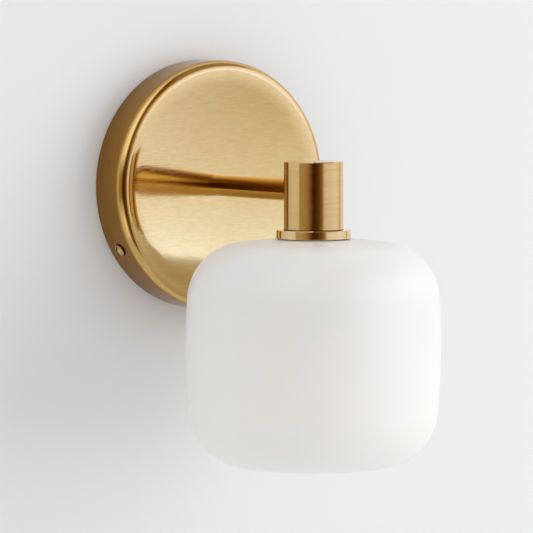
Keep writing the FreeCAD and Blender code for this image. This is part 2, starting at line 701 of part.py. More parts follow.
def make_arm():
    """Arm tube, coped to the cup, with a threaded nipple and a nut at each end."""
    arm = sleeve("arm_tube", NIPPLE_HOLE, S.arm_radius, FACE_OUT + S.fit_gap, S.reach - S.cup_radius / 2)
    cope = circles(new_sketch(arm, "cope", "XZ_Plane"), S.cup_radius + S.seat_gap, (ZERO, S.reach))
    extrude(arm, "Pocket", cope, S.cup_radius * 2, "cope_cut", both=True)
    on_wall(arm)
    rear = sleeve("canopy_nipple", S.nipple_bore, S.nipple_radius,
                  CANOPY_NUT_OUT - S.nipple_tail, FACE_OUT + S.nipple_grip)
    on_wall(rear)
    front = sleeve("cup_nipple", S.nipple_bore, S.nipple_radius,
                   S.reach - S.cup_radius - S.nipple_grip, CUP_NUT_OUT + S.cup_nut_height + S.nipple_tail)
    on_wall(front)
    washer = sleeve("canopy_washer", NIPPLE_HOLE, S.washer_radius, ZERO, S.washer_height)
    on_wall(washer, out=WASHER_OUT)
    on_wall(hex_nut("canopy_nut", S.canopy_nut_height), out=CANOPY_NUT_OUT)
    on_wall(hex_nut("cup_nut", S.cup_nut_height), out=CUP_NUT_OUT)


def hex_nut(label, height):
    """Hexagon nut with two flats level, so that it clears the strap's floor."""
    prism = doc.addObject("Part::Prism", label + "_hexagon")
    prism.Polygon = 6
    bore = doc.addObject("Part::Cylinder", label + "_bore")
    for thing, prop, size in (
            (prism, "Circumradius", S.nut_radius), (prism, "Height", height),
            (bore, "Radius", NIPPLE_HOLE), (bore, "Height", height)):
        setattr(thing, prop, size.value)
        bind(thing, prop, size)
    nut = doc.addObject("Part::Cut", label)
    nut.Base = prism
    nut.Tool = bore
    nut.Label = label
    return nut


# ---------------------------------------------------------------- cup

def thread_ridge(body, name, foot, tip, level):
    """One ridge of the screw thread, from its foot radius to its tip radius."""
    sketch = new_sketch(body, name + "_section", "XZ_Plane")
    wide, narrow = S.thread_root / 2, S.thread_tip / 2
    corners = [(foot, level - wide), (tip, level - narrow), (tip, level + narrow), (foot, level + wide)]
    if foot.value > tip.value:
        corners.reverse()
    outline(sketch, corners)
    return helix(body, sketch, name)


def make_cup():
    """Closed brass cup with the thread for the shade inside its mouth."""
    top = S.cup_rise
    mouth = -(RING_LOW - S.mouth_rise)
    ceiling = top - S.cup_top_wall
    body = turned_piece("socket_cup", [
        (ZERO, ceiling), (CUP_INSIDE, ceiling), (CUP_INSIDE, mouth), (S.cup_radius, mouth),
        (S.cup_radius, top - S.cup_edge), (S.cup_radius - S.cup_edge, top), (ZERO, top)])
    thread_ridge(body, "cup_thread", CUP_INSIDE + S.cup_wall / 2, CUP_INSIDE - S.cup_thread_height,
                 S.cup_thread_start - RING_LOW)
    side = circles(new_sketch(body, "cup_side", "XZ_Plane"), NIPPLE_HOLE, (ZERO, ZERO))
    extrude(body, "Pocket", side, S.cup_radius * 2, "cup_side_cut")
    under_cup(body)


def make_ring():
    """Ring round the cup's mouth, recessed underneath for the seal."""
    bore = S.cup_radius + S.seat_gap
    edge = S.ring_edge
    low, high = -RING_LOW, -S.ring_drop
    ledge = low + S.seal_seat_depth
    body = turned_piece("shade_ring", [
        (bore, high), (bore, ledge), (S.seal_seat_radius, ledge), (S.seal_seat_radius, low),
        (S.ring_radius - edge, low), (S.ring_radius, low + edge),
        (S.ring_radius, high - edge), (S.ring_radius - edge, high)])
    under_cup(body)


def make_seal():
    inner = S.cup_radius + S.run_gap
    high = S.seal_seat_depth - RING_LOW - S.run_gap
    low = CROWN_TOP - inner * inner / (S.crown_radius * 2) + S.seat_gap
    under_cup(sleeve("shade_seal", inner, S.seal_seat_radius - S.run_gap, low, high))


# ---------------------------------------------------------------- shade

def shoulder_centre(crown, shoulder, side, height, width):
    """Where the shoulder's arc is centred so that it runs on from both its neighbours."""
    first = FreeCAD.Vector(0, height - crown, 0)
    second = FreeCAD.Vector(width - side, 0, 0)
    across = second - first
    span = across.Length
    along = ((crown - shoulder) ** 2 - (side - shoulder) ** 2 + span ** 2) / (2 * span)
    out = math.sqrt((crown - shoulder) ** 2 - along ** 2)
    across.normalize()
    return first + across * along + FreeCAD.Vector(across.y, -across.x, 0) * out


def arc_at(sketch, centre, radius, start, stop):
    """An arc from start to stop, in the sense in which angles grow."""
    angles = [math.atan2(p.y - centre.y, p.x - centre.x) for p in (start, stop)]
    circle = Part.Circle(centre, FreeCAD.Vector(0, 0, 1), radius)
    return sketch.addGeometry(Part.ArcOfCircle(circle, *angles))


def shade_arcs(sketch, inset, neck):
    """Base, two shoulders, two sides and crown, from the lowest point up to the neck."""
    width = S.shade_radius.value
    top = CROWN_LOCAL.value
    low = S.shade_below.value
    turn = S.shoulder_radius.value
    rise = shoulder_centre(S.crown_radius.value, turn, S.side_radius.value, top, width)
    fall = shoulder_centre(S.base_radius.value, turn, S.side_radius.value, low, width)
    fall.y = -fall.y
    crown = FreeCAD.Vector(0, top - S.crown_radius.value, 0)
    base = FreeCAD.Vector(0, S.base_radius.value - low, 0)
    side = FreeCAD.Vector(width - S.side_radius.value, 0, 0)
    centres = [base, fall, side, side, rise, crown]
    radii = [S.base_radius, S.shoulder_radius, S.side_radius, S.side_radius,
             S.shoulder_radius, S.crown_radius]
    radii = [radius - inset for radius in radii]
    ends = [base + FreeCAD.Vector(0, -radii[0].value, 0)]
    for centre, other, radius in ((fall, base, radii[1]), (fall, side, radii[1])):
        ends.append(centre + (centre - other).normalize() * radius.value)
    ends.append(FreeCAD.Vector(width - inset.value, 0, 0))
    for centre, other, radius in ((rise, side, radii[4]), (rise, crown, radii[4])):
        ends.append(centre + (centre - other).normalize() * radius.value)
    height = math.sqrt(radii[5].value ** 2 - neck.value ** 2)
    ends.append(crown + FreeCAD.Vector(neck.value, height, 0))
    arcs = []
    for centre, radius, start, stop in zip(centres, radii, ends, ends[1:]):
        arcs.append(arc_at(sketch, centre, radius.value, start, stop))
    for before, after in ((0, 1), (1, 2), (3, 4), (4, 5)):
        hold(sketch, "Tangent", arcs[before], END, arcs[after], START)
    hold(sketch, "Coincident", arcs[2], END, arcs[3], START)
    hold(sketch, "PointOnObject", arcs[0], START, V_AXIS)
    hold(sketch, "PointOnObject", arcs[2], END, H_AXIS)
    return arcs, radii, ends


def make_shade():
    """Closed opal glass with a threaded neck; z = 0 is its widest level.  It is one
    glass, kept as two nodes that meet under the ring: the bowl and the neck."""
    body = new_body("whole_glass")
    sketch = new_sketch(body, "shade_outline", "XZ_Plane")
    neck_top = S.equator_drop - RING_LOW + S.neck_rise
    outer, radii, outer_ends = shade_arcs(sketch, ZERO, S.neck_radius)
    inner, _, inner_ends = shade_arcs(sketch, S.shade_wall, S.neck_bore)
    for arc, radius in zip(outer, radii):
        hold(sketch, "Radius", arc, radius)
    hold(sketch, "PointOnObject", outer[0], CENTRE, V_AXIS)
    hold(sketch, "DistanceY", *ORIGIN_POINT, outer[0], START, -S.shade_below)
    hold(sketch, "PointOnObject", outer[2], CENTRE, H_AXIS)
    hold(sketch, "PointOnObject", outer[3], CENTRE, H_AXIS)
    hold(sketch, "DistanceX", *ORIGIN_POINT, outer[2], END, S.shade_radius)
    hold(sketch, "PointOnObject", outer[5], CENTRE, V_AXIS)
    hold(sketch, "DistanceY", *ORIGIN_POINT, outer[5], CENTRE, CROWN_LOCAL - S.crown_radius)
    for arc, partner in zip(inner, outer):
        hold(sketch, "Coincident", arc, CENTRE, partner, CENTRE)
    hold(sketch, "Radius", inner[0], S.base_radius - S.shade_wall)

    rim = [FreeCAD.Vector(S.neck_radius.value, neck_top.value, 0),
           FreeCAD.Vector(S.neck_bore.value, neck_top.value, 0)]
    neck_out = sketch.addGeometry(Part.LineSegment(outer_ends[-1], rim[0]))
    lip = sketch.addGeometry(Part.LineSegment(rim[0], rim[1]))
    neck_in = sketch.addGeometry(Part.LineSegment(rim[1], inner_ends[-1]))
    bottom = sketch.addGeometry(Part.LineSegment(inner_ends[0], outer_ends[0]))
    for first, one, second, two in (
            (outer[5], END, neck_out, START), (neck_out, END, lip, START),
            (lip, END, neck_in, START), (neck_in, END, inner[5], END),
            (inner[0], START, bottom, START), (bottom, END, outer[0], START)):
        hold(sketch, "Coincident", first, one, second, two)
    hold(sketch, "Vertical", neck_out)
    hold(sketch, "Vertical", neck_in)
    hold(sketch, "Horizontal", lip)
    hold_point(sketch, lip, START, S.neck_radius, neck_top)
    hold(sketch, "DistanceX", *ORIGIN_POINT, lip, END, S.neck_bore)
    revolve(body, sketch)
    level = S.equator_drop - RING_LOW + S.cup_thread_start + (S.thread_root + S.thread_tip) / 2 + S.run_gap
    thread_ridge(body, "neck_thread", (S.neck_radius + S.neck_bore) / 2,
                 S.neck_radius + S.neck_thread_height, level)
    under_cup(body, S.equator_drop)

    for kind, label in (("Part::Cut", "glass_shade"), ("Part::Common", "shade_neck")):
        zone = doc.addObject("Part::Cylinder", label + "_zone")
        zone.Radius = S.neck_zone_radius.value
        bind(zone, "Radius", S.neck_zone_radius)
        zone.Height = S.equator_drop.value
        bind(zone, "Height", S.equator_drop)
        under_cup(zone, S.equator_drop)
        piece = doc.addObject(kind, label)
        piece.Label = label
        piece.Base = body
        piece.Tool = zone


# ---------------------------------------------------------------- lampholder

def make_strap():
    """Bent strap: its upright is clamped by the cup's nut, its floor carries the holder."""
    body = new_body("holder_strap")
    inside = STRAP_BACK - S.strap_wall
    low = -(S.strap_floor + S.strap_wall)
    side = new_sketch(body, "strap_side", "YZ_Plane")
    outline(side, [
        (-S.strap_nose, low), (STRAP_BACK, low), (STRAP_BACK, S.strap_rise), (inside, S.strap_rise),
        (inside, -S.strap_floor), (-S.strap_nose, -S.strap_floor)])
    extrude(body, "Pad", side, S.strap_width, "strap", both=True)
    upright = circles(new_sketch(body, "strap_hole", "XZ_Plane"), NIPPLE_HOLE, (ZERO, ZERO))
    extrude(body, "Pocket", upright, S.cup_radius * 2, "strap_hole_cut")
    floor = new_sketch(body, "strap_floor_holes")
    spread = S.holder_screw_spread
    circles(floor, S.holder_screw_radius + S.fit_gap, (ZERO, spread), (ZERO, -spread))
    circles(floor, S.lead_radius + S.lead_hole_gap,
            (S.pin_spacing / 2, ZERO), (-(S.pin_spacing / 2), ZERO))
    extrude(body, "Pocket", floor, S.strap_floor * 2, "strap_floor_cut")
    under_cup(body)

    screws, features = screw("holder_screws", S.holder_screw_radius, S.holder_screw_length,
                             S.holder_head_radius, S.holder_head_height, many=True)
    in_row(screws, features, spread * 2, "Y_Axis")
    stand(screws, UPRIGHT, ZERO, -S.reach - spread, S.seat_gap - S.strap_floor)


def make_lampholder():
    """Ceramic holder: a pocket for the lamp's base and a slot for each pin."""
    body = new_body("lampholder")
    disc = circles(new_sketch(body, "holder_disc"), S.holder_radius, (ZERO, ZERO))
    extrude(body, "Pad", disc, S.holder_height, "holder", reverse=True)
    ceiling = -(S.holder_height - S.socket_depth)
    half, deep = S.socket_length / 2, S.socket_width / 2
    pocket = outline(new_sketch(body, "socket", lift=-S.holder_height), box_outline(-half, half, -deep, deep))
    extrude(body, "Pocket", pocket, S.socket_depth, "socket_cut", reverse=True)
    slots = new_sketch(body, "pin_slots", lift=ceiling)
    width = S.pin_slot_length / 2
    outline(slots, box_outline(S.pin_slot_inner, S.pin_slot_outer, -width, width))
    outline(slots, box_outline(-S.pin_slot_outer, -S.pin_slot_inner, -width, width))
    extrude(body, "Pocket", slots, S.pin_slot_depth, "pin_slots_cut", reverse=True)
    entries = new_sketch(body, "lead_entries")
    circles(entries, S.lead_radius + S.fit_gap, (S.pin_spacing / 2, ZERO), (-(S.pin_spacing / 2), ZERO))
    extrude(body, "Pocket", entries, -ceiling - S.pin_slot_depth, "lead_entries_cut")
    threads = new_sketch(body, "holder_threads")
    circles(threads, S.holder_screw_radius + S.fit_gap,
            (ZERO, S.holder_screw_spread), (ZERO, -S.holder_screw_spread))
    extrude(body, "Pocket", threads, S.holder_screw_length, "holder_threads_cut")
    under_cup(body, HOLDER_TOP)

    contacts = new_body("holder_contacts", many=True)
    roof = ceiling + S.pin_slot_depth - S.seat_gap
    outer = S.pin_slot_outer - S.fit_gap
    inner = outer - S.contact_wall
    low = ceiling + S.run_gap
    strip = new_sketch(contacts, "contact_strip", "XZ_Plane")
    outline(strip, [
        (inner, low), (outer, low), (outer, roof), (S.pin_slot_inner + S.run_gap, roof),
        (S.pin_slot_inner + S.run_gap, roof - S.contact_wall), (inner, roof - S.contact_wall)])
    pad = extrude(contacts, "Pad", strip, S.contact_width, "contact", both=True)
    around(contacts, [pad], 2)
    under_cup(contacts, HOLDER_TOP)


# ---------------------------------------------------------------- lamp

def make_lamp():
    """Push-in lamp with two looped pins; its own z = 0 is the top of the base block."""
    base = new_body("lamp_base")
    half, deep = S.lamp_base_length / 2, S.lamp_base_width / 2
    block = outline(new_sketch(base, "base_block"), box_outline(-half, half, -deep, deep))
    extrude(base, "Pad", block, S.lamp_base_height, "base", reverse=True)
    collar = circles(new_sketch(base, "base_collar", lift=-S.lamp_base_height),
                     S.collar_radius, (ZERO, ZERO))
    extrude(base, "Pad", collar, S.collar_height, "collar", reverse=True)
    under_cup(base, LAMP_TOP)

    start = LAMP_TOP + S.lamp_base_height + S.collar_height
    round_part = S.bulb_length - S.bulb_radius
    inner = S.bulb_radius - S.bulb_wall
    envelope = turned_piece("lamp_envelope", [
        (S.bulb_radius, ZERO), (inner, ZERO), (inner, -round_part, (inner, "right")),
        (ZERO, -round_part - inner), (ZERO, -S.bulb_length, (S.bulb_radius, "left")),
        (S.bulb_radius, -round_part)])
    under_cup(envelope, start)

    high = -S.filament_drop
    low = high - S.filament_length
    disc = S.filament_spread + S.filament_radius
    wall = S.stem_disc_wall
    stem = turned_piece("lamp_stem", [
        (ZERO, low - wall), (disc, low - wall), (disc, low), (S.stem_radius, low),
        (S.stem_radius, high), (disc, high), (disc, high + wall), (S.stem_radius, high + wall),
        (S.stem_radius, ZERO), (ZERO, ZERO)])
    under_cup(stem, start + S.seat_gap)
    rods = new_body("lamp_filaments", many=True)
    rod = circles(new_sketch(rods, "rod"), S.filament_radius, (S.filament_spread, ZERO))
    pad = extrude(rods, "Pad", rod, S.filament_length - S.seat_gap * 2, "rod_pad", reverse=True)
    around(rods, [pad], 4)
    under_cup(rods, start + S.filament_drop + S.seat_gap * 2)

    loops = []
    side = S.pin_loop_radius
    for across in (-(S.pin_spacing / 2), S.pin_spacing / 2):
        legs = ((-side, ZERO), (-side, S.pin_rise - S.pin_wire_radius),
                (side, S.pin_rise - S.pin_wire_radius), (side, ZERO))
        loops.append(wire_solid([(across, y, z) for y, z in legs], S.pin_wire_radius, side)[0])
    pins = doc.addObject("Part::Feature", "lamp_pins")
    pins.Shape = Part.makeCompound(loops)
    under_cup(pins, LAMP_TOP)


# ---------------------------------------------------------------- leads

def wall_point(across, up, out):
    return (across, -as_size(out), up)


def make_leads():
    """Two leads from the contacts, through the arm, to the terminal block."""
    way = S.bracket_wall + S.seat_gap + S.block_way_out
    block_top = -(S.block_drop - S.block_height / 2)
    contact_top = -(HOLDER_TOP + S.holder_height - S.socket_depth - S.pin_slot_depth)
    inside_nut = S.reach - S.cup_radius / 2
    for label, side in (("left_lead", -1), ("right_lead", 1)):
        foot = S.pin_spacing / 2 * side
        middle = S.lead_spread * side
        clamp = S.block_pitch / 2 * side
        tube(label, [
            wall_point(foot, contact_top, S.reach),
            wall_point(foot, ZERO, S.reach),
            wall_point(middle, ZERO, inside_nut),
            wall_point(middle, ZERO, S.lead_turn_out),
            wall_point(clamp, block_top + S.block_height / 2, way),
            wall_point(clamp, -S.block_drop, way)], S.lead_radius, S.lead_bend)
    tail = S.earth_x + S.small_tag_tail
    bow = S.earth_lead_bow
    low = S.bracket_wall + S.lead_radius + S.run_gap
    middle = TAG_OUT + S.tag_wall / 2
    tube("earth_lead", [
        wall_point(S.tag_tail, ZERO, middle),
        wall_point(S.tag_tail + S.earth_lead_start, ZERO, middle),
        wall_point(S.earth_x + bow, S.earth_lead_up_near, S.earth_lead_out_near),
        wall_point(tail + bow, S.earth_lead_up_far, S.earth_lead_out_far),
        wall_point(tail + bow, S.earth_up, low),
        wall_point(tail, S.earth_up, low)], S.lead_radius, S.lead_bend)


# ---------------------------------------------------------------- build

NODES = (
    "wall_bracket", "earth_screw", "earth_screw_tag", "earth_nipple_tag", "earth_lead",
    "terminal_block", "block_screw", "terminal_clamps", "terminal_screws", "canopy",
    "side_screws", "arm_tube", "canopy_nipple", "canopy_washer", "canopy_nut", "cup_nipple",
    "cup_nut", "socket_cup", "shade_ring", "holder_strap", "holder_screws", "lampholder",
    "holder_contacts", "left_lead", "right_lead", "shade_seal", "glass_shade", "shade_neck", "lamp_base",
    "lamp_envelope", "lamp_stem", "lamp_filaments", "lamp_pins")


def check_document():
    """Stops where a feature failed or a piece has no sound solid."""
    faults = []
    for thing in doc.Objects:
        if "Invalid" in thing.State or "Error" in thing.State:
            owner = thing.getParentGeoFeatureGroup()
            faults.append("%s in %s did not build" % (thing.Label, owner.Label if owner else "the document"))
    for label in NODES:
        shape = doc.getObjectsByLabel(label)[0].Shape
        if shape.isNull() or not shape.isValid() or not shape.Solids:
            faults.append("%s has no sound solid" % label)
    if faults:
        raise RuntimeError("; ".join(faults))


def export_nodes():
    os.makedirs("parts", exist_ok=True)
    for label in NODES:
        piece = doc.getObjectsByLabel(label)[0]
        piece.Shape.exportStep("parts/%s.step" % label)
        print("%-18s %d solid(s), %10.2f mm3" % (label, len(piece.Shape.Solids), piece.Shape.Volume))


make_wall_bracket()
make_canopy()
make_side_screws()
make_earth_parts()
make_terminal_block()
make_arm()
make_cup()
make_ring()
make_seal()
make_shade()
make_strap()
make_lampholder()
make_lamp()
make_leads()
doc.recompute()
check_document()
export_nodes()
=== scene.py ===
import math

import bpy
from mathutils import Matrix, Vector


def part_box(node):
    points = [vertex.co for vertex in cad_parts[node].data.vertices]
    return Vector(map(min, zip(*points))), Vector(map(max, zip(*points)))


# Wall sconce in satin brushed brass with a closed opal glass shade.
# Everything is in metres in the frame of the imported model: the wall is y = 0,
# +Z is up and the lamp stands out towards -Y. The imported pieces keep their
# shapes and get their finishes here. The wall, the floor and two screens that
# show only in reflections are the stage round them.

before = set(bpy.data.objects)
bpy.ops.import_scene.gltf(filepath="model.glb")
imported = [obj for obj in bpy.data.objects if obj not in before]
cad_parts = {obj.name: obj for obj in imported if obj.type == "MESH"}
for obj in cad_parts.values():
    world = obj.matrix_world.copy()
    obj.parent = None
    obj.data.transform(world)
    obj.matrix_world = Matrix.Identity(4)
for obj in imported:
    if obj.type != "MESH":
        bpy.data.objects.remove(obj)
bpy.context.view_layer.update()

MM = 0.001

# The stretches of 0..1 in which noise patterns and brushing marks mostly lie.
PATTERN_SPAN = (0.3, 0.7)
GRAIN_SPAN = (0.35, 0.65)


def colour(red, green, blue):
    return (red, green, blue, 1.0)


def direction(azimuth, elevation):
    """From the lamp outwards: azimuth 0 is -Y, 90 is +X."""
    a, e = math.radians(azimuth), math.radians(elevation)
    return Vector((math.sin(a) * math.cos(e), -math.cos(a) * math.cos(e), math.sin(e)))


def aim(piece, azimuth, elevation, target, distance):
    """Adds a light or the camera at a distance from its target, turned to face it."""
    back = direction(azimuth, elevation)
    piece.location = target + back * distance
    piece.rotation_mode = "QUATERNION"
    piece.rotation_quaternion = back.to_track_quat("Z", "Y")
    bpy.context.scene.collection.objects.link(piece)


# ---------------------------------------------------------------- shader tools

class Nodes:
    """A shader node tree, emptied, and short ways to fill it."""

    def __init__(self, tree):
        self.tree = tree
        self.tree.nodes.clear()

    def feed(self, socket, value):
        """Links an output to the socket, or sets the socket's own value."""
        if isinstance(value, bpy.types.NodeSocket):
            self.tree.links.new(value, socket)
        else:
            socket.default_value = value

    def add(self, kind, result=0, inputs=(), **settings):
        """A node with its settings and inputs; returns one of its outputs."""
        node = self.tree.nodes.new(kind)
        for key, value in settings.items():
            setattr(node, key, value)
        for socket, value in dict(inputs).items():
            self.feed(node.inputs[socket], value)
        return node.outputs[result]

    def point(self):
        """The point on the piece, in metres."""
        return self.add("ShaderNodeTexCoord", "Object")

    def place(self):
        """The x, y and z of the point on the piece."""
        split = self.tree.nodes.new("ShaderNodeSeparateXYZ")
        self.feed(split.inputs[0], self.point())
        return tuple(split.outputs)

    def vector(self, x, y, z):
        return self.add("ShaderNodeCombineXYZ", 0, {0: x, 1: y, 2: z})

    def math(self, action, first, second=0.0, third=0.0):
        return self.add("ShaderNodeMath", 0, {0: first, 1: second, 2: third}, operation=action)

    def times(self, first, second):
        return self.math("MULTIPLY", first, second)

    def plus(self, first, second):
        return self.math("ADD", first, second)

    def minus(self, first, second):
        return self.math("SUBTRACT", first, second)

    def apart(self, first, second):
        """How far two values are apart, never below 0."""
        return self.math("ABSOLUTE", self.minus(first, second))

    def length(self, first, second):
        """The length of an offset, from its two parts at right angles."""
        return self.math("SQRT", self.plus(self.times(first, first), self.times(second, second)))

    def share(self, first, second, part):
        """A sum with that part of the first and the rest of the second."""
        return self.plus(self.times(first, part), self.times(second, 1.0 - part))

    def spread(self, value, low, high, start=0.0, stop=1.0):
        """Maps low..high onto start..stop, and stays at the ends beyond them."""
        return self.add("ShaderNodeMapRange", 0, {0: value, 1: low, 2: high, 3: start, 4: stop})

    def vary(self, pattern, start=0.0, stop=1.0):
        """Maps a noise pattern onto start..stop."""
        return self.spread(pattern, *PATTERN_SPAN, start, stop)

    def noise(self, vector, scale, detail):
        return self.add("ShaderNodeTexNoise", "Fac",
                        {"Vector": vector, "Scale": scale, "Detail": detail})

    def mix(self, factor, first, second, blend="MIX"):
        """A mix of two colours."""
        return self.add("ShaderNodeMix", 2, {0: factor, 6: first, 7: second},
                        data_type="RGBA", blend_type=blend)

    def mix_float(self, factor, first, second):
        return self.add("ShaderNodeMix", 0, {0: factor, 2: first, 3: second}, data_type="FLOAT")

    def ramp(self, value, stops):
        """A colour that changes along a value, given as (value, colour) stops."""
        low, high = stops[0][0], stops[-1][0]
        node = self.tree.nodes.new("ShaderNodeValToRGB")
        self.feed(node.inputs[0], self.spread(value, low, high))
        marks = node.color_ramp.elements
        while len(marks) < len(stops):
            marks.new(0.5)
        for mark, (at, tint) in zip(marks, stops):
            mark.position = (at - low) / (high - low)
            mark.color = colour(*tint)
        return node.outputs[0]


class Shader(Nodes):
    """A principled material and the nodes that feed it."""

    def __init__(self, name, **values):
        self.material = bpy.data.materials.new(name)
        self.material.use_nodes = True
        super().__init__(self.material.node_tree)
        self.out = self.tree.nodes.new("ShaderNodeOutputMaterial")
        self.main = self.tree.nodes.new("ShaderNodeBsdfPrincipled")
        self.show(self.main.outputs["BSDF"])
        for socket, value in values.items():
            self.set(socket.replace("_", " "), value)

    def set(self, socket, value):
        self.feed(self.main.inputs[socket], value)

    def show(self, surface):
        """Makes this the surface that the material has."""
        self.feed(self.out.inputs["Surface"], surface)

    def swap(self, factor, other):
        """Shows the other surface where the factor is 1."""
        self.show(self.add("ShaderNodeMixShader", 0,
                           {0: factor, 1: self.main.outputs["BSDF"], 2: other}))

    def surface(self, tint, roughness, height, lift):
        """Sets the colour, the roughness and a bump that stands lift high where height is 1."""
        self.set("Base Color", tint)
        self.set("Roughness", roughness)
        self.set("Normal", self.add("ShaderNodeBump", 0, {"Height": height, "Distance": lift}))


# ---------------------------------------------------------------- brass

# Tints of the darkest and the lightest marks.
FACE_BRASS = (colour(0.73, 0.525, 0.215), colour(0.87, 0.675, 0.325))
# The rim and the side wall take darker copies of the face's tints. This is painted shade, darkest
# on the side wall, which mirrors the wall in the canopy's shadow.
SHADED_RIM_BRASS = (colour(0.60, 0.37, 0.13), colour(0.72, 0.47, 0.18))
SHADED_SIDE_BRASS = (colour(0.30, 0.14, 0.02), colour(0.38, 0.19, 0.035))
CUP_BRASS = (colour(0.67, 0.43, 0.16), colour(0.78, 0.55, 0.26))
RING_BRASS = (colour(0.76, 0.54, 0.25), colour(0.86, 0.66, 0.36))
ARM_BRASS = (colour(0.66, 0.41, 0.13), colour(0.74, 0.49, 0.17))
SCREW_BRASS = (colour(0.50, 0.34, 0.12), colour(0.62, 0.44, 0.18))
# Painted shade for the seam under the cup, the foot of each side screw and the gaps round the screw
# heads.
PAINTED_GAP_SHADE = colour(0.10, 0.04, 0.01)

# Roughness of the highest and the lowest marks.
CUP_ROUGH = (0.08, 0.19)
RING_ROUGH = (0.05, 0.15)
ARM_ROUGH = (0.05, 0.13)
FACE_ROUGH = (0.04, 0.12)
RIM_ROUGH = (0.04, 0.20)

# Scales of the fine and the coarse marks, across them and along them, per metre.
BRUSHING = ((2600.0, 45.0), (1000.0, 45.0))
FACE_BRUSHING = ((1700.0, 90.0), (700.0, 225.0))
BRUSHING_DETAIL = 2.0
FINE_SHARE = 0.6
GRAIN_SHARE = 0.7
BRASS_CLOUDS = (34.0, 3.0)
TURNED_LIFT = 0.02 * MM
CANOPY_LIFT = 0.011 * MM
ARM_LIFT = 0.006 * MM
TURNED_ANISOTROPY = 0.6
DRAWN_ANISOTROPY = 0.5

# The face's marks wander up and down by this much over a bend's length.
WAVE = 5 * MM
WAVE_BENDS = (60.0, 2.0)

# Painted shade darkens the seam between cup and collar up to the first height and radius, and is
# gone at the second. The heights are above and below it, and the radii from the cup's axis.
CUP_LOW, CUP_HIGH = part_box("socket_cup")
CUP_AXIS = (CUP_LOW + CUP_HIGH) / 2
CUP_RADIUS = CUP_HIGH.x
SEAM_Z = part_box("shade_ring")[1].z
SEAM_HEIGHTS = (0.2 * MM, 0.5 * MM)
SEAM_RADII = (CUP_RADIUS + 0.2 * MM, CUP_RADIUS + 0.7 * MM)

# The canopy changes from face to rim, and from rim to side wall, between two radii.
CANOPY_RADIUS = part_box("canopy")[1].x
FACE_RADIUS = CANOPY_RADIUS - 5 * MM
RIM_RADII = (FACE_RADIUS, FACE_RADIUS + 1.5 * MM)
SIDE_RADII = (CANOPY_RADIUS - 0.6 * MM, CANOPY_RADIUS - 0.05 * MM)

# The two side screws stand opposite each other, and SCREW_WAY points to the right one.
# A head has painted shade up to the first distance of SCREW_FOOT from the canopy's axis, and the
# side wall has painted shade up to the first distance of GAP_WIDTHS from a circle round the head.
RIGHT_SCREW = [point.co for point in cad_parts["side_screws"].data.vertices if point.co.x > 0]
SCREW_CENTRE = sum(RIGHT_SCREW, Vector()) / len(RIGHT_SCREW)
SCREW_WAY = Vector((SCREW_CENTRE.x, 0.0, SCREW_CENTRE.z)).normalized()
SCREWS_LOW, SCREWS_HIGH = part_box("side_screws")
SCREW_Y = (SCREWS_LOW.y + SCREWS_HIGH.y) / 2
SCREW_HEAD = SCREWS_HIGH.y - SCREW_Y
SCREW_FOOT = (CANOPY_RADIUS + 0.3 * MM, CANOPY_RADIUS + 1.3 * MM)
GAP_RADIUS = SCREW_HEAD + 0.1 * MM
GAP_WIDTHS = (0.2 * MM, 0.55 * MM)


def brushing(shader, parts, along, scales=BRUSHING):
    """A fine and a coarse pattern of marks from three coordinates.

    The marks are long in the coordinates that along says, and close in the others.
    """
    patterns = []
    for across_scale, along_scale in scales:
        way = [shader.times(part, along_scale if is_along else across_scale)
               for part, is_along in zip(parts, along)]
        patterns.append(shader.noise(shader.vector(*way), 1.0, BRUSHING_DETAIL))
    return patterns


def turned_brushing(shader, first, second, axial, lean):
    """Marks that run round an axis, from two offsets from it and the place along it.

    The profile is the place along the axis plus lean times the radius.
    """
    profile = shader.math("MULTIPLY_ADD", shader.length(first, second), lean, axial)
    return brushing(shader, (first, second, profile), (True, True, False))


def level_brushing(shader, x, z):
    """Hand brushing across the face: nearly level, slightly wavy lines."""
    wavy = shader.math("MULTIPLY_ADD", shader.noise(shader.point(), *WAVE_BENDS), WAVE, z)
    return brushing(shader, (x, 0.0, wavy), (True, True, False), FACE_BRUSHING)


def brass_finish(shader, patterns, tints, rough, lift):
    """Colour, roughness and bump from a fine and a coarse brushing pattern and soft clouds."""
    cloud = shader.noise(shader.point(), *BRASS_CLOUDS)
    grain = shader.share(*patterns, FINE_SHARE)
    tone = shader.share(grain, cloud, GRAIN_SHARE)
    high_rough, low_rough = rough
    shader.surface(shader.mix(shader.vary(tone), *tints),
                   shader.spread(grain, *GRAIN_SPAN, low_rough, high_rough), grain, lift)


def turned_brass(name, tints, rough):
    """Brass turned round the cup's axis, with painted shade in the seam between cup and collar."""
    shader = Shader(name, Metallic=1.0, Anisotropic=TURNED_ANISOTROPY)
    x, y, z = shader.place()
    out = shader.minus(y, CUP_AXIS.y)
    clear = shader.math("MAXIMUM", shader.spread(shader.apart(z, SEAM_Z), *SEAM_HEIGHTS),
                        shader.spread(shader.length(x, out), *SEAM_RADII))
    # Painted shade: the seam between cup and collar is darkened.
    tints = [shader.mix(clear, PAINTED_GAP_SHADE, tint) for tint in tints]
    brass_finish(shader, turned_brushing(shader, x, out, z, -1.0), tints, rough, TURNED_LIFT)
    shader.set("Tangent", shader.vector(0.0, 0.0, 1.0))
    return shader.material


def screw_gap_shade(shader, x, y, z):
    """1 in the narrow gap round a side screw's head, where shade is painted, 0 away from it."""
    across = shader.minus(shader.times(z, SCREW_WAY.x), shader.times(x, SCREW_WAY.z))
    from_screw = shader.length(across, shader.minus(y, SCREW_Y))
    return shader.spread(shader.apart(from_screw, GAP_RADIUS), *GAP_WIDTHS, 1.0, 0.0)


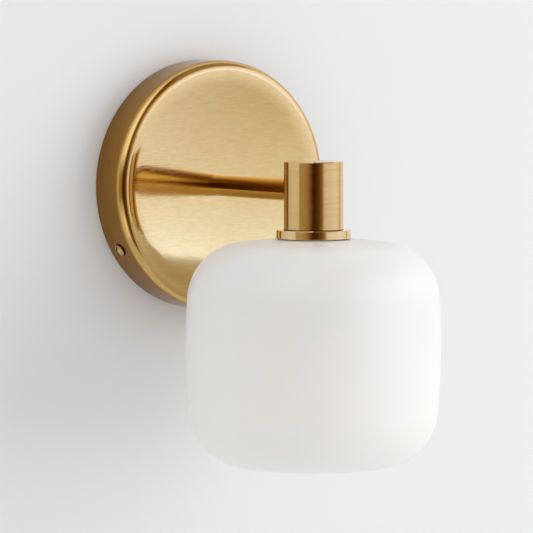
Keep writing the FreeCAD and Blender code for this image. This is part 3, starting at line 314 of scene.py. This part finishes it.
def canopy_brass():
    """Level brushing on the dished face, and brushing round the rim and the side wall.

    Painted shade darkens the rim, the side wall and the gaps round the side screws.
    """
    shader = Shader("canopy_brass", Metallic=1.0, Anisotropic=DRAWN_ANISOTROPY)
    x, y, z = shader.place()
    radius = shader.length(x, z)
    rim = shader.spread(radius, *RIM_RADII)
    side = shader.spread(radius, *SIDE_RADII)
    patterns = [shader.mix_float(rim, level, around) for level, around in
                zip(level_brushing(shader, x, z), turned_brushing(shader, x, z, y, 1.0))]
    # Painted shade round each side screw's head on the side wall.
    gap = shader.times(side, screw_gap_shade(shader, x, y, z))
    # Painted shade: the rim and the side wall get darker tints than the face.
    tints = [shader.mix(gap, shader.mix(side, shader.mix(rim, face, edge), shaded_flank), PAINTED_GAP_SHADE)
             for face, edge, shaded_flank in zip(FACE_BRASS, SHADED_RIM_BRASS, SHADED_SIDE_BRASS)]
    rough = [shader.mix_float(rim, face, edge) for face, edge in zip(FACE_ROUGH, RIM_ROUGH)]
    brass_finish(shader, patterns, tints, rough, CANOPY_LIFT)
    shader.set("Tangent", shader.vector(0.0, rim, shader.minus(1.0, rim)))
    return shader.material


def arm_brass():
    """Tube brushed along its length."""
    shader = Shader("arm_brass", Metallic=1.0, Anisotropic=DRAWN_ANISOTROPY)
    patterns = brushing(shader, shader.place(), (False, True, False))
    brass_finish(shader, patterns, ARM_BRASS, ARM_ROUGH, ARM_LIFT)
    shader.set("Tangent", shader.vector(0.0, 1.0, 0.0))
    return shader.material


# ---------------------------------------------------------------- other finishes

# Noise scale per metre and detail, height of the bump, and how much roughness varies.
METAL_MARKS = (420.0, 3.0)
METAL_LIFT = 0.01 * MM
METAL_VARIES = 0.12
SCREW_ROUGH = (0.12, 0.20)
OPAL_CLOUDS = (18.0, 2.0)
OPAL_ETCH = (2400.0, 1.0)
OPAL_LIFT = 0.004 * MM
OPAL_ROUGH = (0.32, 0.38)
OPAL_DEPTH = 8 * MM
CLEAR_CLOUDS = (90.0, 2.0)
CLEAR_ROUGH = (0.01, 0.04)
MOULD_CLOUDS = (60.0, 2.0)
MOULD_GRAIN = (900.0, 2.0)
MOULD_LIFT = 0.01 * MM
MOULD_VARIES = 0.1
CERAMIC_GRAIN = (500.0, 2.0)
CERAMIC_LIFT = 0.03 * MM
SILICONE_DEPTH = 1 * MM


def screw_brass():
    """Polished head of a side screw, with painted shade at its foot and low in its slot."""
    shader = Shader("screw_brass", Metallic=1.0)
    x, y, z = shader.place()
    cloud = shader.noise(shader.point(), *METAL_MARKS)
    out = shader.math("ABSOLUTE", shader.plus(shader.times(x, SCREW_WAY.x),
                                              shader.times(z, SCREW_WAY.z)))
    tint = shader.mix(shader.vary(cloud), *SCREW_BRASS)
    # Painted shade: the head darkens towards its foot at the side wall.
    shader.surface(shader.mix(shader.spread(out, *SCREW_FOOT), PAINTED_GAP_SHADE, tint),
                   shader.vary(cloud, *SCREW_ROUGH), cloud, METAL_LIFT)
    return shader.material


def plain_metal(name, low, high, rough, metallic=1.0):
    """Turned or plated small metal, with faint marks from its making."""
    shader = Shader(name, Metallic=metallic)
    cloud = shader.noise(shader.point(), *METAL_MARKS)
    shader.surface(shader.mix(shader.vary(cloud), low, high),
                   shader.vary(cloud, rough, rough + METAL_VARIES), cloud, METAL_LIFT)
    return shader.material


def moulded(name, low, high, rough, grain=MOULD_GRAIN, lift=MOULD_LIFT, **values):
    """Plastic, rubber, ceramic or phosphor with a faint surface grain."""
    shader = Shader(name, **values)
    cloud = shader.noise(shader.point(), *MOULD_CLOUDS)
    height = shader.noise(shader.point(), *grain)
    shader.surface(shader.mix(shader.vary(cloud), low, high),
                   shader.vary(height, rough, rough + MOULD_VARIES), height, lift)
    return shader.material


def opal_glass():
    """Opal glass with an etched, satin outside."""
    shader = Shader("opal_glass", Subsurface_Weight=0.6, Subsurface_Scale=OPAL_DEPTH, IOR=1.5,
                    Subsurface_Radius=(1.0, 0.95, 0.9))
    cloud = shader.noise(shader.point(), *OPAL_CLOUDS)
    tint = shader.mix(shader.vary(cloud), colour(0.87, 0.86, 0.845), colour(0.89, 0.88, 0.87))
    shader.surface(tint, shader.vary(cloud, *OPAL_ROUGH),
                   shader.noise(shader.point(), *OPAL_ETCH), OPAL_LIFT)
    return shader.material


def clear_glass():
    """The lamp's own glass, smooth, with a trace of cloud."""
    shader = Shader("clear_glass", Transmission_Weight=1.0, IOR=1.48)
    cloud = shader.noise(shader.point(), *CLEAR_CLOUDS)
    shader.set("Base Color", shader.mix(cloud, colour(0.95, 0.97, 0.97), colour(0.98, 0.99, 0.99)))
    shader.set("Roughness", shader.vary(cloud, *CLEAR_ROUGH))
    return shader.material


def dress(material, *nodes):
    """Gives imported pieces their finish; their shapes stay as they are."""
    for node in nodes:
        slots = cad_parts[node].data.materials
        slots.clear()
        slots.append(material)


def dress_all():
    """Makes each finish once and gives it to its pieces."""
    dress(canopy_brass(), "canopy")
    dress(arm_brass(), "arm_tube")
    dress(turned_brass("cup_brass", CUP_BRASS, CUP_ROUGH), "socket_cup")
    dress(turned_brass("ring_brass", RING_BRASS, RING_ROUGH), "shade_ring")
    dress(screw_brass(), "side_screws")
    dress(plain_metal("plain_brass", colour(0.62, 0.46, 0.20), colour(0.72, 0.56, 0.28), 0.3),
          "canopy_nipple", "cup_nipple", "terminal_clamps", "canopy_nut", "cup_nut")
    dress(plain_metal("zinc_steel", colour(0.55, 0.56, 0.58), colour(0.68, 0.69, 0.72), 0.32),
          "terminal_screws", "block_screw", "holder_screws", "canopy_washer", "wall_bracket",
          "holder_strap")
    dress(plain_metal("tinned_tag", colour(0.66, 0.66, 0.64), colour(0.76, 0.76, 0.74), 0.28),
          "earth_screw_tag", "earth_nipple_tag", "holder_contacts", "lamp_pins")
    dress(plain_metal("green_screw", colour(0.05, 0.26, 0.09), colour(0.08, 0.34, 0.13), 0.3, 0.6),
          "earth_screw")
    dress(moulded("green_lead", colour(0.05, 0.28, 0.08), colour(0.07, 0.33, 0.10), 0.35),
          "earth_lead")
    dress(moulded("white_lead", colour(0.78, 0.77, 0.74), colour(0.84, 0.83, 0.80), 0.35),
          "left_lead")
    dress(moulded("black_lead", colour(0.015, 0.015, 0.015), colour(0.03, 0.03, 0.03), 0.35),
          "right_lead")
    dress(moulded("white_plastic", colour(0.80, 0.80, 0.77), colour(0.86, 0.86, 0.83), 0.4),
          "terminal_block", "lamp_base")
    dress(moulded("ceramic", colour(0.80, 0.79, 0.74), colour(0.87, 0.86, 0.82), 0.5,
                  CERAMIC_GRAIN, CERAMIC_LIFT), "lampholder")
    dress(moulded("silicone", colour(0.70, 0.70, 0.68), colour(0.76, 0.76, 0.74), 0.5,
                  Subsurface_Weight=0.2, Subsurface_Scale=SILICONE_DEPTH), "shade_seal")
    dress(opal_glass(), "glass_shade", "shade_neck")
    dress(clear_glass(), "lamp_envelope", "lamp_stem")
    dress(moulded("phosphor", colour(0.85, 0.58, 0.12), colour(0.92, 0.68, 0.18), 0.6),
          "lamp_filaments")


# ---------------------------------------------------------------- stage

# What the camera sees beyond the wall.
PALE = (0.86, 0.86, 0.86)
STAGE_COLOUR = colour(0.89, 0.89, 0.89)
STAGE_ROUGH = 0.9
WALL_SPECULAR = 0.1
WALL_HALF = 3.0
WALL_HOLE = CANOPY_RADIUS - 4 * MM
WALL_Y = 0.3 * MM
HOLE_STEPS = 96
FLOOR_Z = -2.6


def matt_wall():
    """A matt backdrop that is seen from its front only."""
    shader = Shader("backdrop", Base_Color=STAGE_COLOUR, Roughness=STAGE_ROUGH,
                    Specular_IOR_Level=WALL_SPECULAR)
    shader.swap(shader.add("ShaderNodeNewGeometry", "Backfacing"),
                shader.add("ShaderNodeBsdfTransparent"))
    return shader.material


def pale_floor():
    """A matt floor that looks like the pale backdrop beyond it."""
    shader = Shader("pale_floor", Base_Color=STAGE_COLOUR, Roughness=STAGE_ROUGH)
    shader.swap(shader.add("ShaderNodeLightPath", "Is Camera Ray"),
                shader.add("ShaderNodeEmission", 0, {"Color": colour(*PALE)}))
    return shader.material


def stage_mesh(name, points, faces, material):
    mesh = bpy.data.meshes.new(name)
    mesh.from_pydata(points, [], faces)
    mesh.materials.append(material)
    piece = bpy.data.objects.new(name, mesh)
    bpy.context.scene.collection.objects.link(piece)
    return piece


def make_wall():
    """A wall with a round opening behind the canopy, so that the canopy's back can be seen."""
    points, faces = [], []
    for step in range(HOLE_STEPS):
        turn = 2 * math.pi * step / HOLE_STEPS
        across, up = math.cos(turn), math.sin(turn)
        reach = WALL_HALF / max(abs(across), abs(up))
        points.append((across * WALL_HOLE, WALL_Y, up * WALL_HOLE))
        points.append((across * reach, WALL_Y, up * reach))
        after = (step + 1) % HOLE_STEPS
        faces.append((2 * step, 2 * step + 1, 2 * after + 1, 2 * after))
    stage_mesh("wall", points, faces, matt_wall())


def make_floor():
    near, far = -2 * WALL_HALF, WALL_Y
    points = [(-WALL_HALF, near, FLOOR_Z), (WALL_HALF, near, FLOOR_Z),
              (WALL_HALF, far, FLOOR_Z), (-WALL_HALF, far, FLOOR_Z)]
    stage_mesh("floor", points, [(0, 1, 2, 3)], pale_floor())


# ---------------------------------------------------------------- light

WHITE = colour(1.0, 1.0, 1.0)
AMBIENT = 0.70
LIGHT_CENTRE = Vector((0.0, -0.05, -0.04))

# A radiance of 1 would look white in a mirror.
KEY_AZIMUTH = 50.0
KEY_ELEVATION = 9.0
KEY_DISTANCE = 3.0
KEY_WIDTH = 3.0
KEY_HEIGHT = 2.8
KEY_RADIANCE = 1.62

GLOW_RADIUS = 12 * MM
GLOW_POWER = 0.045
GLOW_DROP = 30 * MM
GLOW_TINT = (1.0, 0.95, 0.88)

SCREEN_RADIUS = 4.5
SCREEN_STEP = 3.0
SCREEN_ELEVATIONS = (-60.0, 90.0)
# The level colours end, and the raised ones begin, this many degrees above or below level.
LEVEL_LIMITS = (8.0, 22.0)

# Colours by azimuth at the lamp's own height (level) and well above or below it (raised),
# which are multiplied by the colour for the elevation (upright). Angles are in degrees.
# Towards the lamp's front the left screen is dark. Further round it is dim when level and
# light when raised. The right screen is the large pale one that the dished face mirrors.
SCREENS = {
    "left_screen": {
        "azimuths": (-97.0, -14.0),
        "level": (
            (-97.0, (0.05, 0.03, 0.01)), (-94.0, (0.56, 0.44, 0.32)),
            (-74.0, (0.52, 0.42, 0.31)), (-58.0, (0.42, 0.30, 0.18)),
            (-50.0, (0.28, 0.17, 0.06)), (-42.0, (0.13, 0.055, 0.005)),
            (-37.0, (0.06, 0.018, 0.001)), (-30.0, (0.06, 0.018, 0.001)),
            (-22.0, (0.10, 0.04, 0.003)), (-14.0, (0.17, 0.08, 0.008))),
        "raised": (
            (-97.0, (0.95, 0.98, 1.00)), (-47.0, (1.45, 1.55, 1.70)),
            (-42.0, (1.00, 0.98, 0.95)), (-34.0, (0.24, 0.14, 0.06)),
            (-14.0, (0.20, 0.11, 0.04))),
        "upright": (
            (-60.0, (0.75, 0.70, 0.55)), (0.0, (0.86, 0.81, 0.67)),
            (30.0, (1.05, 1.05, 1.00)), (90.0, (1.05, 1.05, 1.00))),
    },
    "right_screen": {
        "azimuths": (-14.0, 92.0),
        "level": (
            (-14.0, (0.17, 0.08, 0.008)), (-6.0, (0.26, 0.16, 0.05)),
            (0.0, (0.42, 0.32, 0.18)), (5.0, (0.82, 0.82, 0.92)),
            (12.0, (0.99, 1.05, 1.38)), (30.0, (1.02, 1.10, 1.52)),
            (54.0, (1.14, 1.27, 1.95)), (74.0, (1.08, 1.18, 1.70)),
            (86.0, (0.82, 0.76, 0.66)), (92.0, (0.60, 0.50, 0.32))),
        "raised": (
            (-14.0, (0.20, 0.11, 0.04)), (6.0, (0.85, 0.75, 0.55)),
            (22.0, (1.02, 1.06, 1.30)), (30.0, (1.02, 1.10, 1.52)),
            (54.0, (1.14, 1.27, 1.95)), (92.0, (1.00, 1.06, 1.30))),
        "upright": (
            (-60.0, (0.42, 0.33, 0.21)), (-28.0, (0.56, 0.47, 0.31)),
            (0.0, (0.87, 0.82, 0.68)), (8.0, (1.06, 1.07, 1.04)),
            (16.0, (1.26, 1.31, 1.45)), (32.0, (1.16, 1.20, 1.30)),
            (44.0, (0.42, 0.30, 0.14)), (90.0, (0.34, 0.22, 0.08))),
    },
}


def make_world():
    """Soft light from all round, pale where it is seen, mirrored or looked at through glass."""
    world = bpy.data.worlds.new("studio")
    bpy.context.scene.world = world
    world.use_nodes = True
    nodes = Nodes(world.node_tree)
    soft = nodes.add("ShaderNodeBackground", 0, {"Color": WHITE, "Strength": AMBIENT})
    seen = nodes.add("ShaderNodeBackground", 0, {"Color": colour(*PALE)})
    camera, mirrored, through = (nodes.add("ShaderNodeLightPath", ray) for ray in
                                 ("Is Camera Ray", "Is Glossy Ray", "Is Transmission Ray"))
    shown = nodes.math("MAXIMUM", nodes.math("MAXIMUM", camera, mirrored), through)
    mixed = nodes.add("ShaderNodeMixShader", 0, {0: shown, 1: soft, 2: seen})
    out = nodes.tree.nodes.new("ShaderNodeOutputWorld")
    nodes.feed(out.inputs["Surface"], mixed)


def screen_light(name, level, raised, upright):
    """The light of a screen, from its colours by azimuth and by elevation."""
    shader = Shader(name)
    x, y, z = shader.place()
    turn = shader.times(shader.math("ARCTAN2", x, shader.times(y, -1.0)), math.degrees(1.0))
    rise = shader.times(shader.math("ARCSINE", shader.math("DIVIDE", z, SCREEN_RADIUS)),
                        math.degrees(1.0))
    away = shader.spread(shader.math("ABSOLUTE", rise), *LEVEL_LIMITS)
    around = shader.mix(away, shader.ramp(turn, level), shader.ramp(turn, raised))
    light = shader.mix(1.0, around, shader.ramp(rise, upright), "MULTIPLY")
    shader.show(shader.add("ShaderNodeEmission", 0, {"Color": light}))
    shader.tree.nodes.remove(shader.main)
    return shader.material


def make_screen(name, azimuths, **colours):
    """Part of a round studio screen that shows only in reflections."""
    (left, right), (bottom, top) = azimuths, SCREEN_ELEVATIONS
    columns = round((right - left) / SCREEN_STEP)
    rows = round((top - bottom) / SCREEN_STEP)
    points = [direction(left + (right - left) * column / columns,
                        bottom + (top - bottom) * row / rows) * SCREEN_RADIUS
              for row in range(rows + 1) for column in range(columns + 1)]
    corners = [row * (columns + 1) + column for row in range(rows) for column in range(columns)]
    faces = [(corner, corner + 1, corner + columns + 2, corner + columns + 1) for corner in corners]
    piece = stage_mesh(name, points, faces, screen_light(name, **colours))
    piece.location = LIGHT_CENTRE
    piece.visible_camera = False
    piece.visible_diffuse = False
    piece.visible_transmission = False
    piece.visible_volume_scatter = False
    piece.visible_shadow = False


def make_key():
    """A soft panel that faces the lamp from the right and isn't mirrored in it."""
    light = bpy.data.lights.new("key", "AREA")
    light.shape = "RECTANGLE"
    light.size, light.size_y = KEY_WIDTH, KEY_HEIGHT
    light.energy = KEY_RADIANCE * math.pi * KEY_WIDTH * KEY_HEIGHT
    panel = bpy.data.objects.new("key", light)
    panel.visible_glossy = False
    aim(panel, KEY_AZIMUTH, KEY_ELEVATION, LIGHT_CENTRE, KEY_DISTANCE)


def lamp_glow():
    """A dim light inside the shade, below the lamp, which evens out the opal glass."""
    light = bpy.data.lights.new("lamp_glow", "POINT")
    light.shadow_soft_size = GLOW_RADIUS
    light.energy = GLOW_POWER
    light.color = GLOW_TINT
    glow = bpy.data.objects.new("lamp_glow", light)
    low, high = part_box("lamp_envelope")
    glow.location = ((low.x + high.x) / 2, (low.y + high.y) / 2, low.z - GLOW_DROP)
    glow.visible_glossy = False
    bpy.context.scene.collection.objects.link(glow)


# ---------------------------------------------------------------- camera

CAMERA_AZIMUTH = -35.28
CAMERA_ELEVATION = 3.60
CAMERA_TARGET = Vector((42.33, 0.0, -44.41)) * MM
CAMERA_DISTANCE = 2.671
FOCAL_PIXELS = 5120.0
IMAGE_PIXELS = 533.0
SENSOR_MM = 36.0
CLIP_START, CLIP_END = 0.05, 50.0


def make_camera():
    data = bpy.data.cameras.new("camera")
    data.sensor_width = SENSOR_MM
    data.lens = FOCAL_PIXELS * SENSOR_MM / IMAGE_PIXELS
    data.clip_start, data.clip_end = CLIP_START, CLIP_END
    camera = bpy.data.objects.new("camera", data)
    aim(camera, CAMERA_AZIMUTH, CAMERA_ELEVATION, CAMERA_TARGET, CAMERA_DISTANCE)
    bpy.context.scene.camera = camera


# ---------------------------------------------------------------- build

dress_all()
make_wall()
make_floor()
make_world()
for screen_name, settings in SCREENS.items():
    make_screen(screen_name, **settings)
make_key()
lamp_glow()
make_camera()
bpy.context.scene.view_settings.view_transform = "Standard"
